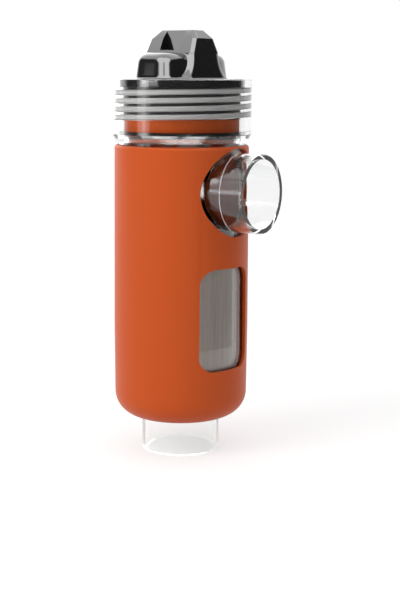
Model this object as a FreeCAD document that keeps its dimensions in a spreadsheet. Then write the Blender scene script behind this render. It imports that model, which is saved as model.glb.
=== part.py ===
import FreeCAD, Part
import math
import os
import Sketcher

# A salt water chlorinator cell. The origin is the centre of the lower end of the inlet pipe,
# +Z runs up the vessel and +X along the side outlet. Lengths are in millimetres.
SIZES = {
    "pipe_radius": 31.5,
    "pipe_wall": 4.1,
    "inlet_reach": 28.0,
    "spigot_flange": 3.0,
    "outlet_reach": 76.0,
    "outlet_socket": 20.0,
    "outlet_drop": 47.7,
    "glue_gap": 0.1,
    "joint_step": 0.8,
    "joint_clear": 0.5,
    "bore_step": 16.0,
    "tube_wall": 4.0,
    "tube_top": 260.0,
    "floor_thickness": 5.0,
    "floor_joint": 52.0,
    "sleeve_gap": 0.3,
    "sleeve_hole_gap": 0.4,
    "sleeve_wall": 2.7,
    "sleeve_drop": 11.0,
    "floor_land": 3.3,
    "sleeve_shoulder": 2.4,
    "sleeve_taper": 0.7,
    "taper_length": 55.0,
    "port_hole_gap": 3.8,
    "window_sill": 43.4,
    "window_bridge": 23.9,
    "window_half_width": 25.4,
    "window_shift": 10.0,
    "window_corner": 12.0,
    "collar_wall": 4.65,
    "collar_overlap": 8.5,
    "collar_height": 50.0,
    "collar_chamfer_rise": 6.0,
    "collar_chamfer_depth": 3.6,
    "collar_edge": 0.8,
    "collar_step": 0.5,
    "flange_sink": 6.0,
    "flange_height": 6.5,
    "flange_overhang": 3.0,
    "flange_gap": 0.6,
    "seat_gap": 0.3,
    "skirt_rise": 10.2,
    "skirt_gap": 0.6,
    "skirt_wall": 10.4,
    "head_wall": 3.0,
    "hollow_inset": 1.0,
    "grip_half_width": 26.0,
    "grip_arc_centre": 20.6,
    "grip_height": 20.0,
    "grip_draft": 2.0,
    "grip_lean": 7.6,
    "panel_half_width": 23.4,
    "panel_inset": 1.5,
    "panel_side_inset": 1.2,
    "panel_reach": 4.0,
    "panel_corner": 4.5,
    "panel_sill": 2.0,
    "panel_lip": 1.6,
    "cover_gap": 0.2,
    "cover_half_width": 23.7,
    "cover_half_length": 19.6,
    "cover_shoulder_half_width": 22.2,
    "cover_shoulder_half_length": 13.7,
    "cover_shoulder_rise": 11.8,
    "cover_height": 18.4,
    "cover_corner": 3.8,
    "cover_chamfer": 6.3,
    "notch_half_width": 9.25,
    "notch_back": 8.1,
    "notch_floor": 2.2,
    "plug_gap": 0.9,
    "plug_band": 10.1,
    "plug_lip": 2.6,
    "ring_cord": 2.8,
    "ring_gap": 0.3,
    "electrode_wall": 1.0,
    "cathode_gap": 0.9,
    "anode_step": 12.6,
    "inner_step": 12.0,
    "electrode_low": 52.0,
    "electrode_drop": 4.8,
    "anode_setback": 4.0,
    "comb_thickness": 5.0,
    "comb_base": 6.0,
    "comb_tooth": 8.0,
    "comb_gap": 0.2,
    "hub_radius": 9.0,
    "bridge_width": 8.0,
    "bridge_thickness": 1.5,
    "weld_gap": 0.1,
    "weld_inset": 0.3,
    "stud_radius": 3.0,
    "stud_gap": 0.15,
    "stud_overlap": 24.0,
    "nut_radius": 5.6,
    "nut_height": 5.0,
    "washer_thickness": 1.2,
    "seal_thickness": 1.8,
    "thread_tail": 2.0,
    "screw_radius": 2.0,
    "screw_head_radius": 3.6,
    "screw_head_height": 2.4,
    "screw_length": 16.0,
    "screw_inset": 6.4,
    "cover_screw_across": 12.5,
    "cover_room_half_width": 5.5,
    "cover_room_wall": 2.1,
    "hatch_half_length": 9.7,
    "hatch_corner": 1.6,
    "screw_sink": 0.6,
    "screw_end_gap": 1.0,
    "grommet_radius": 5.0,
    "grommet_hole_radius": 2.6,
    "grommet_lip": 1.4,
    "grommet_lip_margin": 1.5,
    "grommet_gap": 0.2,
    "soft_edge": 0.8,
    "cut_past": 5.0,
}

PLUG_SCREWS = 4
COMB_ARMS = 3
ANODE_STUD_DEGREES = 210.0
CATHODE_STUD_DEGREES = 30.0
BRIDGE_START_DEGREES = 60.0

doc = FreeCAD.newDocument("Chlorinator")
sheet = doc.addObject("Spreadsheet::Sheet", "Sizes")
for row, (alias, number) in enumerate(SIZES.items(), start=1):
    sheet.set(f"A{row}", alias)
    sheet.set(f"B{row}", str(number))
    sheet.setAlias(f"B{row}", alias)
doc.recompute()


class Length:
    """A length that keeps its formula in the sheet beside its present value."""

    def __init__(self, formula, value):
        self.formula = formula
        self.value = value

    def combine(self, other, sign, result):
        text = other.formula if isinstance(other, Length) else repr(other)
        return Length(f"({self.formula} {sign} {text})", result)

    def __add__(self, other):
        return self.combine(other, "+", self.value + number_of(other))

    def __sub__(self, other):
        return self.combine(other, "-", self.value - number_of(other))

    def __mul__(self, other):
        return self.combine(other, "*", self.value * number_of(other))

    def __truediv__(self, other):
        return self.combine(other, "/", self.value / number_of(other))

    def __neg__(self):
        return Length(f"(0 - {self.formula})", -self.value)


def number_of(length):
    return length.value if isinstance(length, Length) else float(length)


def size(alias):
    return Length(f"Sizes.{alias}", SIZES[alias])


ZERO = Length("0", 0.0)


def bind(thing, path, length):
    """Ties a property to the sheet when it has a formula there."""
    thing.setExpression(path, length.formula)


def rebuild(feature):
    """Recomputes the document and stops if the new feature failed."""
    doc.recompute()
    if "Invalid" in feature.State or not feature.isValid():
        raise RuntimeError(f"{feature.Name} failed: {feature.getStatusString()}")
    return feature


def new_body(name):
    body = doc.addObject("PartDesign::Body", name)
    body.Label = name
    return body


def sketch_on(body, plane, name, height=None):
    """A sketch on one of the body's own planes, lifted along its normal if asked."""
    sketch = body.newObject("Sketcher::SketchObject", name)
    feature = [f for f in body.Origin.OriginFeatures if f.Role == plane][0]
    sketch.AttachmentSupport = (feature, [""])
    sketch.MapMode = "FlatFace"
    if height is not None:
        sketch.AttachmentOffset = FreeCAD.Placement(
            FreeCAD.Vector(0, 0, height.value), FreeCAD.Rotation())
        bind(sketch, "AttachmentOffset.Base.z", height)
    return sketch


def pin_point(sketch, geometry, end, across, up):
    """Fixes a point of the sketch by its two distances from the origin."""
    for kind, length in (("DistanceX", across), ("DistanceY", up)):
        index = sketch.addConstraint(
            Sketcher.Constraint(kind, -1, 1, geometry, end, length.value))
        bind(sketch, f"Constraints[{index}]", length)


def draw_polygon(sketch, corners):
    """Closed outline through the corners, each a pair of lengths."""
    first = sketch.GeometryCount
    count = len(corners)
    points = [FreeCAD.Vector(across.value, up.value, 0) for across, up in corners]
    for index in range(count):
        sketch.addGeometry(Part.LineSegment(points[index], points[(index + 1) % count]), False)
    for index in range(count):
        following = first + (index + 1) % count
        sketch.addConstraint(Sketcher.Constraint("Coincident", first + index, 2, following, 1))
    for index, (across, up) in enumerate(corners):
        pin_point(sketch, first + index, 1, across, up)


def draw_circle(sketch, across, up, radius):
    centre = FreeCAD.Vector(across.value, up.value, 0)
    circle = sketch.addGeometry(Part.Circle(centre, FreeCAD.Vector(0, 0, 1), radius.value), False)
    index = sketch.addConstraint(Sketcher.Constraint("Radius", circle, radius.value))
    bind(sketch, f"Constraints[{index}]", radius)
    pin_point(sketch, circle, 3, across, up)


def draw_rounded_rectangle(sketch, half_across, half_up, corner, middle_up=ZERO, middle_across=ZERO):
    """Rectangle about a middle point with four equal round corners."""
    left, right = middle_across - half_across, middle_across + half_across
    inner_left, inner_right = left + corner, right - corner
    top, low = middle_up + half_up, middle_up - half_up
    inner_top, inner_low = top - corner, low + corner
    lines = [
        ((inner_left, low), (inner_right, low)),
        ((right, inner_low), (right, inner_top)),
        ((inner_right, top), (inner_left, top)),
        ((left, inner_top), (left, inner_low)),
    ]
    centres = [
        (inner_right, inner_low), (inner_right, inner_top), (inner_left, inner_top), (inner_left, inner_low)]
    for index, (start, stop) in enumerate(lines):
        a = FreeCAD.Vector(start[0].value, start[1].value, 0)
        b = FreeCAD.Vector(stop[0].value, stop[1].value, 0)
        line = sketch.addGeometry(Part.LineSegment(a, b), False)
        pin_point(sketch, line, 1, *start)
        pin_point(sketch, line, 2, *stop)
    for index, centre in enumerate(centres):
        middle = FreeCAD.Vector(centre[0].value, centre[1].value, 0)
        circle = Part.Circle(middle, FreeCAD.Vector(0, 0, 1), corner.value)
        turn = math.radians(90 * (index - 1))
        arc = sketch.addGeometry(Part.ArcOfCircle(circle, turn, turn + math.pi / 2), False)
        sketch.addConstraint(Sketcher.Constraint("Coincident", index, 2, arc, 1))
        sketch.addConstraint(Sketcher.Constraint("Coincident", arc, 2, (index + 1) % 4, 1))
        radius = sketch.addConstraint(Sketcher.Constraint("Radius", arc, corner.value))
        bind(sketch, f"Constraints[{radius}]", corner)


def draw_stadium(sketch, radius, arc_centre):
    """Two straight sides at +-radius along the sketch's vertical, joined by half circles."""
    corners = [(radius, -arc_centre), (radius, arc_centre), (-radius, arc_centre), (-radius, -arc_centre)]
    for start, stop in ((0, 1), (2, 3)):
        a = FreeCAD.Vector(corners[start][0].value, corners[start][1].value, 0)
        b = FreeCAD.Vector(corners[stop][0].value, corners[stop][1].value, 0)
        line = sketch.addGeometry(Part.LineSegment(a, b), False)
        pin_point(sketch, line, 1, *corners[start])
        pin_point(sketch, line, 2, *corners[stop])
    for index, (centre, turn) in enumerate(((arc_centre, 0.0), (-arc_centre, math.pi))):
        circle = Part.Circle(FreeCAD.Vector(0, centre.value, 0), FreeCAD.Vector(0, 0, 1), radius.value)
        arc = sketch.addGeometry(Part.ArcOfCircle(circle, turn, turn + math.pi), False)
        sketch.addConstraint(Sketcher.Constraint("Coincident", index, 2, arc, 1))
        sketch.addConstraint(Sketcher.Constraint("Coincident", arc, 2, 1 - index, 1))
        level = sketch.addConstraint(Sketcher.Constraint("DistanceY", -1, 1, arc, 3, centre.value))
        bind(sketch, f"Constraints[{level}]", centre)


def revolve(body, name, corners):
    """Turns a closed profile of (radius, height) corners about the vessel's axis."""
    sketch = sketch_on(body, "XZ_Plane", name + "_profile")
    draw_polygon(sketch, corners)
    feature = body.newObject("PartDesign::Revolution", name)
    feature.Profile = sketch
    feature.ReferenceAxis = (sketch, ["V_Axis"])
    feature.Angle = 360
    return rebuild(feature)


def extrude(body, name, sketch, length, cut=False, both_ways=False, reverse=False):
    """Pads or pockets a sketch. A cut that takes nothing away stops the script."""
    before = body.Shape.Volume if cut else 0.0
    feature = body.newObject("PartDesign::Pocket" if cut else "PartDesign::Pad", name)
    feature.Profile = sketch
    feature.Length = length.value
    bind(feature, "Length", length)
    feature.Midplane = both_ways
    feature.Reversed = reverse
    rebuild(feature)
    if cut and body.Shape.Volume > before - 1e-3:
        raise RuntimeError(f"{name} cuts nothing")
    return feature


def loft(body, name, sketches):
    feature = body.newObject("PartDesign::AdditiveLoft", name)
    feature.Profile = sketches[0]
    feature.Sections = sketches[1:]
    feature.Ruled = True
    before = 0.0 if body.Shape.isNull() else body.Shape.Volume
    rebuild(feature)
    if abs(body.Shape.Volume - before) < 1.0:
        raise RuntimeError(f"{name} changes nothing")
    return feature


def polar(body, name, feature, count):
    """Repeats a feature about the vessel's axis."""
    pattern = body.newObject("PartDesign::PolarPattern", name)
    pattern.Originals = [feature]
    axis = [f for f in body.Origin.OriginFeatures if f.Role == "Z_Axis"][0]
    pattern.Axis = (axis, [""])
    pattern.Angle = 360
    pattern.Occurrences = count
    body.Tip = pattern
    return rebuild(pattern)


def round_edges(body, name, radius, chosen):
    """Fillets each edge of the body that the test picks."""
    base = body.Tip
    edges = [f"Edge{i}" for i, edge in enumerate(base.Shape.Edges, start=1) if chosen(edge)]
    if not edges:
        raise RuntimeError(f"{name} finds no edge")
    feature = body.newObject("PartDesign::Fillet", name)
    feature.Base = (base, edges)
    feature.Radius = radius.value
    bind(feature, "Radius", radius)
    return rebuild(feature)


def ring_edge(radius, height):
    """Picks the full circle about the vessel's axis at that radius and height."""

    def chosen(edge):
        curve = edge.Curve
        if not isinstance(curve, Part.Circle):
            return False
        level = abs(curve.Center.z - height.value) < 0.01
        centred = math.hypot(curve.Center.x, curve.Center.y) < 0.01
        return level and centred and abs(curve.Radius - radius.value) < 0.01

    return chosen


# Sizes that several pieces share.
bore_radius = size("pipe_radius") + size("bore_step")
tube_radius = bore_radius + size("tube_wall")
outlet_height = size("tube_top") - size("outlet_drop")
sleeve_top = size("tube_top") - size("sleeve_drop")
collar_low = size("tube_top") - size("collar_overlap")
collar_top = collar_low + size("collar_height")
flange_low = collar_top - size("flange_sink")
skirt_low = size("tube_top") + size("skirt_rise")
pipe_bore = size("pipe_radius") - size("pipe_wall")
pipe_joint = size("pipe_radius") - size("joint_step")
pipe_hole = pipe_joint + size("glue_gap")
sleeve_inner = tube_radius + size("sleeve_gap")
sleeve_outer = sleeve_inner + size("sleeve_wall")
sleeve_low = size("inlet_reach")
floor_low = sleeve_low + size("sleeve_wall") + size("sleeve_gap")
floor_top = floor_low + size("floor_thickness")
floor_corner = tube_radius - size("pipe_radius") - size("floor_land")
sleeve_corner = floor_corner + size("sleeve_wall") + size("sleeve_gap")
collar_bore = bore_radius + size("collar_step")
flange_radius = collar_bore + size("flange_overhang")
skirt_radius = collar_bore - size("skirt_gap")
skirt_inner_radius = skirt_radius - size("skirt_wall")
screw_circle = skirt_radius - size("screw_inset")
plug_radius = bore_radius - size("plug_gap")
cathode_radius = bore_radius - size("cathode_gap")
anode_radius = cathode_radius - size("anode_step")
inner_radius = anode_radius - size("inner_step")
counterbore = flange_radius + size("flange_gap")
collar_radius = counterbore + size("collar_wall")
port_hole_radius = size("pipe_radius") + size("port_hole_gap")
flange_seat = flange_low - size("seat_gap")
head_base = flange_low + size("flange_height")
grip_top = head_base + size("grip_height")
cover_low = grip_top + size("cover_gap")
cover_top = cover_low + size("cover_height")
plug_top = skirt_low
band_low = plug_top - size("plug_band")
groove_height = size("ring_cord") + size("ring_gap") * 2
groove_low = band_low - groove_height
groove_radius = bore_radius - size("ring_gap") * 2 - size("ring_cord")
plug_low = groove_low - size("plug_lip")
electrode_top = outlet_height - size("pipe_radius") - size("electrode_drop")
electrode_length = electrode_top - size("electrode_low")


def make_vessel_tube():
    """Clear acrylic tube with a round hole in its wall for the side outlet."""
    body = new_body("vessel_tube")
    revolve(body, "wall", [
        (bore_radius, size("floor_joint")),
        (tube_radius, size("floor_joint")),
        (tube_radius, size("tube_top")),
        (bore_radius, size("tube_top")),
    ])
    hole = sketch_on(body, "YZ_Plane", "outlet_hole")
    draw_circle(hole, ZERO, outlet_height, pipe_hole)
    extrude(body, "outlet_cut", hole, tube_radius + size("cut_past"), cut=True, reverse=True)
    return body


def make_vessel_floor():
    """Moulded end cap: a flat floor with a round corner up to the tube's end."""
    body = new_body("vessel_floor")
    revolve(body, "dish", [
        (pipe_hole, floor_low),
        (tube_radius, floor_low),
        (tube_radius, size("floor_joint")),
        (bore_radius, size("floor_joint")),
        (bore_radius, floor_top),
        (pipe_hole, floor_top),
    ])
    round_edges(body, "outer_corner", floor_corner, ring_edge(tube_radius, floor_low))
    inner_corner = floor_corner - size("floor_thickness")
    round_edges(body, "inner_corner", inner_corner, ring_edge(bore_radius, floor_top))
    return body


def make_inlet_spigot():
    """Clear pipe through the floor, with a glued flange on the inside."""
    body = new_body("inlet_spigot")
    flange = size("pipe_radius") + size("spigot_flange")
    flange_top = floor_top + size("spigot_flange")
    joint_low = sleeve_low - size("joint_clear")
    revolve(body, "pipe", [
        (pipe_bore, ZERO),
        (size("pipe_radius"), ZERO),
        (size("pipe_radius"), joint_low),
        (pipe_joint, joint_low),
        (pipe_joint, floor_top),
        (flange, floor_top),
        (flange, flange_top),
        (pipe_bore, flange_top),
    ])
    return body


def make_outlet_spigot():
    """Clear pipe glued into the tube's wall, its inner end trimmed to the bore."""
    body = new_body("outlet_spigot")
    joint_end = size("outlet_reach") - size("outlet_socket")
    for label, start, length, radius in (
        ("joint", ZERO, joint_end, pipe_joint),
        ("mouth", joint_end, size("outlet_socket"), size("pipe_radius")),
    ):
        ring = sketch_on(body, "YZ_Plane", label + "_ring", start)
        draw_circle(ring, ZERO, outlet_height, radius)
        draw_circle(ring, ZERO, outlet_height, pipe_bore)
        extrude(body, label, ring, length)
    bore = sketch_on(body, "XY_Plane", "bore")
    draw_circle(bore, ZERO, ZERO, bore_radius)
    extrude(body, "trim", bore, sleeve_top, cut=True, reverse=True)
    return body


def make_neck_collar():
    """Thick clear collar glued over the tube's end. The head screws into its bore."""
    body = new_body("neck_collar")
    socket = tube_radius + size("glue_gap")
    low, top, outer = collar_low, collar_top, collar_radius
    revolve(body, "wall", [
        (socket, low),
        (outer - size("collar_chamfer_depth"), low),
        (outer, low + size("collar_chamfer_rise")),
        (outer, top),
        (counterbore, top),
        (counterbore, flange_seat),
        (collar_bore, flange_seat),
        (collar_bore, size("tube_top")),
        (socket, size("tube_top")),
    ])
    round_edges(body, "top_edge", size("collar_edge"), ring_edge(outer, top))
    return body


def make_sleeve():
    """Orange soft-touch sleeve: one drawn shell with a window and a port hole."""
    body = new_body("sleeve")
    hole = size("pipe_radius") + size("sleeve_hole_gap")
    waist = sleeve_outer - size("sleeve_taper")
    taper_start = sleeve_low + sleeve_corner
    revolve(body, "shell", [
        (hole, sleeve_low),
        (waist, sleeve_low),
        (waist, taper_start),
        (sleeve_outer, taper_start + size("taper_length")),
        (sleeve_outer, sleeve_top),
        (sleeve_inner, sleeve_top),
        (sleeve_inner, sleeve_low + size("sleeve_wall")),
        (hole, sleeve_low + size("sleeve_wall")),
    ])
    inner_corner = sleeve_corner - size("sleeve_wall")
    round_edges(body, "outer_corner", sleeve_corner - size("glue_gap"), ring_edge(waist, sleeve_low))
    round_edges(body, "inner_corner", inner_corner,
                ring_edge(sleeve_inner, sleeve_low + size("sleeve_wall")))
    round_edges(body, "shoulder", size("sleeve_shoulder"), ring_edge(sleeve_outer, sleeve_top))
    hole_sketch = sketch_on(body, "YZ_Plane", "port_hole")
    draw_circle(hole_sketch, ZERO, outlet_height, port_hole_radius)
    extrude(body, "port_cut", hole_sketch, sleeve_outer + size("cut_past"), cut=True, reverse=True)
    window = sketch_on(body, "YZ_Plane", "window")
    window_low = sleeve_low + size("window_sill")
    window_top = outlet_height - port_hole_radius - size("window_bridge")
    half_height = (window_top - window_low) / 2
    middle = window_low + half_height
    draw_rounded_rectangle(window, size("window_half_width"), half_height, size("window_corner"), middle,
                           -size("window_shift"))
    extrude(body, "window_cut", window, sleeve_outer + size("cut_past"), cut=True, reverse=True)
    return body


def make_head_cap():
    """Dark screw head: skirt, flange and a two-flat grip, hollow for the terminals."""
    body = new_body("head_cap")
    revolve(body, "skirt", [
        (skirt_inner_radius, skirt_low),
        (skirt_radius, skirt_low),
        (skirt_radius, flange_low),
        (flange_radius, flange_low),
        (flange_radius, head_base),
        (ZERO, head_base),
        (ZERO, flange_low),
        (skirt_inner_radius, flange_low),
    ])
    round_edges(body, "flange_edge", size("soft_edge"), ring_edge(flange_radius, head_base))

    width, centre = size("grip_half_width"), size("grip_arc_centre")
    low = sketch_on(body, "XY_Plane", "grip_foot", head_base)
    draw_stadium(low, width, centre)
    high = sketch_on(body, "XY_Plane", "grip_head", grip_top)
    draw_stadium(high, width - size("grip_draft"), centre - size("grip_lean"))
    loft(body, "grip", [low, high])

    pocket_height = size("grip_height") - size("panel_sill") - size("panel_lip")
    middle = head_base + size("panel_sill") + pocket_height / 2
    clear_from = centre - size("grip_lean") + size("panel_reach")
    for side, label in ((1, "front"), (-1, "rear")):
        panel = sketch_on(body, "XZ_Plane", label + "_panel", clear_from * side)
        draw_rounded_rectangle(panel, size("panel_half_width"), pocket_height / 2,
                               size("panel_corner"), middle)
        extrude(body, label + "_recess", panel, collar_radius, cut=True, reverse=side > 0)
    inner_low = sketch_on(body, "XY_Plane", "panel_foot", head_base)
    panel_width = width - size("panel_side_inset")
    draw_stadium(inner_low, panel_width, centre - size("panel_inset"))
    inner_high = sketch_on(body, "XY_Plane", "panel_head", grip_top)
    draw_stadium(inner_high, panel_width - size("grip_draft"),
                 centre - size("panel_inset") - size("grip_lean"))
    loft(body, "panels", [inner_low, inner_high])

    hollow = sketch_on(body, "XY_Plane", "hollow", flange_low)
    inset = size("head_wall") + size("hollow_inset")
    draw_stadium(hollow, width - size("grip_draft") - inset,
                 centre - size("grip_lean") - size("head_wall") + size("hollow_inset"))
    extrude(body, "terminal_room", hollow, head_base - flange_low + size("grip_height")
            - size("head_wall"), cut=True, reverse=True)
    hatch = sketch_on(body, "XY_Plane", "hatch", grip_top)
    draw_rounded_rectangle(hatch, size("cover_room_half_width"), size("hatch_half_length"),
                           size("hatch_corner"))
    extrude(body, "hatch_cut", hatch, size("head_wall") + size("cut_past"), cut=True)
    for side, label in ((1, "right"), (-1, "left")):
        pilot = sketch_on(body, "XY_Plane", label + "_pilot", grip_top)
        draw_circle(pilot, size("cover_screw_across") * side, ZERO, size("screw_radius") + size("stud_gap"))
        extrude(body, label + "_pilot_cut", pilot, size("head_wall") + size("cut_past"), cut=True)

    pilot = sketch_on(body, "XY_Plane", "screw_pilot", skirt_low)
    draw_circle(pilot, screw_circle, ZERO, size("screw_radius") + size("stud_gap"))
    drilled = extrude(body, "screw_hole", pilot, size("screw_length"), cut=True, reverse=True)
    polar(body, "screw_holes", drilled, PLUG_SCREWS)
    return body


def make_terminal_cover():
    """Upper tier of the head: a chamfered cap with a notch in each end."""
    body = new_body("terminal_cover")
    shoulder = cover_low + size("cover_shoulder_rise")
    corner = size("cover_corner")
    foot = sketch_on(body, "XY_Plane", "foot", cover_low)
    draw_rounded_rectangle(foot, size("cover_half_width"), size("cover_half_length"), corner)
    waist = sketch_on(body, "XY_Plane", "waist", shoulder)
    draw_rounded_rectangle(waist, size("cover_shoulder_half_width"),
                           size("cover_shoulder_half_length"), corner)
    top = sketch_on(body, "XY_Plane", "top", cover_top)
    draw_rounded_rectangle(top, size("cover_shoulder_half_width") - size("cover_chamfer"),
                           size("cover_shoulder_half_length") - size("cover_chamfer"), corner / 2)
    loft(body, "block", [foot, waist, top])
    for side, label in ((1, "front"), (-1, "rear")):
        notch = sketch_on(body, "XZ_Plane", label + "_notch", size("notch_back") * side)
        rise = size("cover_height")
        draw_rounded_rectangle(notch, size("notch_half_width"), rise / 2, size("soft_edge"),
                               cover_low + size("notch_floor") + rise / 2)
        extrude(body, label + "_notch_cut", notch, size("cover_half_length"), cut=True,
                reverse=side > 0)
    hollow = sketch_on(body, "XY_Plane", "hollow", cover_low)
    room = size("notch_back") - size("cover_room_wall")
    draw_rounded_rectangle(hollow, size("cover_room_half_width"), room, size("soft_edge"))
    extrude(body, "room", hollow, size("cover_height") - size("head_wall"), cut=True, reverse=True)
    for side, label in ((1, "right"), (-1, "left")):
        across = size("cover_screw_across") * side
        shank = sketch_on(body, "XY_Plane", label + "_screw", cover_low)
        draw_circle(shank, across, ZERO, size("screw_radius") + size("stud_gap"))
        extrude(body, label + "_screw_cut", shank, size("cover_height") + size("cut_past"), cut=True,
                reverse=True)
        sink = sketch_on(body, "XY_Plane", label + "_sink", cover_top)
        draw_circle(sink, across, ZERO, size("screw_head_radius") + size("stud_gap"))
        extrude(body, label + "_sink_cut", sink, size("screw_head_height") + size("screw_sink"), cut=True)
    cable = sketch_on(body, "XZ_Plane", "cable_hole")
    draw_circle(cable, ZERO, cover_low + size("cover_height") / 2, size("grommet_radius"))
    extrude(body, "cable_cut", cable, size("cover_half_length"), cut=True)
    return body


def make_carrier_plug():
    """Orange plug under the skirt that carries the electrodes and the neck ring."""
    body = new_body("carrier_plug")
    revolve(body, "plug", [
        (ZERO, plug_low),
        (plug_radius, plug_low),
        (plug_radius, groove_low),
        (groove_radius, groove_low),
        (groove_radius, band_low),
        (plug_radius, band_low),
        (plug_radius, plug_top),
        (ZERO, plug_top),
    ])
    pilot = sketch_on(body, "XY_Plane", "screw_hole", plug_low)
    draw_circle(pilot, screw_circle, ZERO, size("screw_radius") + size("stud_gap"))
    drilled = extrude(body, "screw_hole_cut", pilot, plug_top - plug_low, cut=True, reverse=True)
    polar(body, "screw_holes", drilled, PLUG_SCREWS)
    for at, radius, label in (
        (ANODE_STUD_DEGREES, anode_stud_circle, "anode"),
        (CATHODE_STUD_DEGREES, cathode_stud_circle, "cathode"),
    ):
        stud_hole = sketch_on(body, "XY_Plane", label + "_hole", plug_low)
        across = radius * math.cos(math.radians(at))
        along = radius * math.sin(math.radians(at))
        draw_circle(stud_hole, across, along, size("stud_radius") + size("stud_gap"))
        extrude(body, label + "_hole_cut", stud_hole, plug_top - plug_low, cut=True, reverse=True)
    return body


def make_neck_seal():
    """Black ring of round cord in the plug's groove."""
    ring = doc.addObject("Part::Torus", "neck_seal")
    ring.Label = "neck_seal"
    cord = size("ring_cord") / 2
    bind(ring, "Radius2", cord)
    bind(ring, "Radius1", bore_radius - size("ring_gap") - cord)
    bind(ring, "Placement.Base.z", groove_low + groove_height / 2)
    return ring


def make_tube(name, radius, low, length):
    """Thin titanium electrode tube."""
    body = new_body(name)
    inner = radius - size("electrode_wall")
    revolve(body, "wall", [
        (inner, low),
        (radius, low),
        (radius, low + length),
        (inner, low + length),
    ])
    return body


def make_comb(name, seat, upward):
    """Insulating spider: upright comb plates whose slots hold the three tube ends."""
    body = new_body(name)
    sign = 1 if upward else -1
    wall, gap = size("electrode_wall"), size("comb_gap")
    back = seat - size("comb_base") * sign
    anode_seat = seat + (size("anode_setback") - gap) * sign
    tip = seat + size("comb_tooth") * sign
    outer, anode, inner = cathode_radius, anode_radius, inner_radius
    plate = sketch_on(body, "XZ_Plane", "comb_plate")
    draw_polygon(plate, [
        (ZERO, back),
        (outer, back),
        (outer, seat),
        (outer - wall - gap, seat),
        (outer - wall - gap, tip),
        (anode + gap, tip),
        (anode + gap, anode_seat),
        (anode - wall - gap, anode_seat),
        (anode - wall - gap, tip),
        (inner + gap, tip),
        (inner + gap, seat),
        (inner - wall - gap, seat),
        (inner - wall - gap, tip),
        (ZERO, tip),
    ])
    arm = extrude(body, "arm", plate, size("comb_thickness"), both_ways=True)
    polar(body, "arms", arm, COMB_ARMS)
    hub = sketch_on(body, "XY_Plane", "hub", back)
    draw_circle(hub, ZERO, ZERO, size("hub_radius"))
    extrude(body, "hub_pad", hub, size("comb_base") + size("comb_tooth"), reverse=not upward)
    hole = sketch_on(body, "XY_Plane", "rod_hole", back)
    draw_circle(hole, ZERO, ZERO, size("stud_radius") + size("stud_gap"))
    extrude(body, "rod_hole_cut", hole, size("comb_base") + size("comb_tooth"), cut=True, reverse=upward)
    return body


def make_cathode_bridges():
    """Three strips welded across the tops of the two cathodes, clear of the anode."""
    bridges = doc.addObject("Part::Compound", "cathode_bridges")
    bridges.Label = "cathode_bridges"
    strips = []
    inner_end = inner_radius - size("electrode_wall") + size("weld_inset")
    reach = cathode_radius - size("weld_inset") - inner_end
    for index in range(COMB_ARMS):
        strip = doc.addObject("Part::Box", f"bridge_{index + 1}")
        bind(strip, "Length", reach)
        bind(strip, "Width", size("bridge_width"))
        bind(strip, "Height", size("bridge_thickness"))
        turn = math.radians(BRIDGE_START_DEGREES + 360.0 / COMB_ARMS * index)
        strip.Placement = FreeCAD.Placement(
            FreeCAD.Vector(0, 0, 0), FreeCAD.Rotation(FreeCAD.Vector(0, 0, 1), math.degrees(turn)))
        half = size("bridge_width") / 2
        bind(strip, "Placement.Base.x", inner_end * math.cos(turn) + half * math.sin(turn))
        bind(strip, "Placement.Base.y", inner_end * math.sin(turn) - half * math.cos(turn))
        bind(strip, "Placement.Base.z", electrode_top)
        strips.append(strip)
    bridges.Links = strips
    return bridges


def make_stud(name, low, top, circle, at):
    """Titanium stud welded inside its tube and bolted through the plug."""
    stud = doc.addObject("Part::Cylinder", name)
    stud.Label = name
    bind(stud, "Radius", size("stud_radius"))
    bind(stud, "Height", top - low)
    bind(stud, "Placement.Base.x", circle * math.cos(math.radians(at)))
    bind(stud, "Placement.Base.y", circle * math.sin(math.radians(at)))
    bind(stud, "Placement.Base.z", low)
    return stud


def make_rings(name, places, outer, bore, height, sides=None):
    """Washers, seals or nuts: one outline with a bore, repeated at each place."""
    group = doc.addObject("Part::Compound", name)
    group.Label = name
    copies = []
    for index, (across, along, low) in enumerate(places, start=1):
        if sides:
            solid = doc.addObject("Part::Prism", f"{name}_body_{index}")
            solid.Polygon = sides
            bind(solid, "Circumradius", outer)
        else:
            solid = doc.addObject("Part::Cylinder", f"{name}_body_{index}")
            bind(solid, "Radius", outer)
        bind(solid, "Height", height)
        core = doc.addObject("Part::Cylinder", f"{name}_bore_{index}")
        bind(core, "Radius", bore)
        bind(core, "Height", height)
        for piece in (solid, core):
            bind(piece, "Placement.Base.x", across)
            bind(piece, "Placement.Base.y", along)
            bind(piece, "Placement.Base.z", low)
        ring = doc.addObject("Part::Cut", f"{name}_{index}")
        ring.Base = solid
        ring.Tool = core
        copies.append(ring)
    group.Links = copies
    return group


def make_screws(name, places, length, head_up):
    """Pan-head screws. Each place is (across, along, the height of the head's seat)."""
    group = doc.addObject("Part::Compound", name)
    group.Label = name
    copies = []
    for index, (across, along, seat) in enumerate(places, start=1):
        shank = doc.addObject("Part::Cylinder", f"{name}_shank_{index}")
        bind(shank, "Radius", size("screw_radius"))
        bind(shank, "Height", length)
        head = doc.addObject("Part::Cylinder", f"{name}_head_{index}")
        bind(head, "Radius", size("screw_head_radius"))
        bind(head, "Height", size("screw_head_height"))
        for piece in (shank, head):
            bind(piece, "Placement.Base.x", across)
            bind(piece, "Placement.Base.y", along)
        bind(shank, "Placement.Base.z", seat - length if head_up else seat)
        bind(head, "Placement.Base.z", seat if head_up else seat - size("screw_head_height"))
        screw = doc.addObject("Part::Fuse", f"{name}_{index}")
        screw.Base = shank
        screw.Tool = head
        copies.append(screw)
    group.Links = copies
    return group


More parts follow.
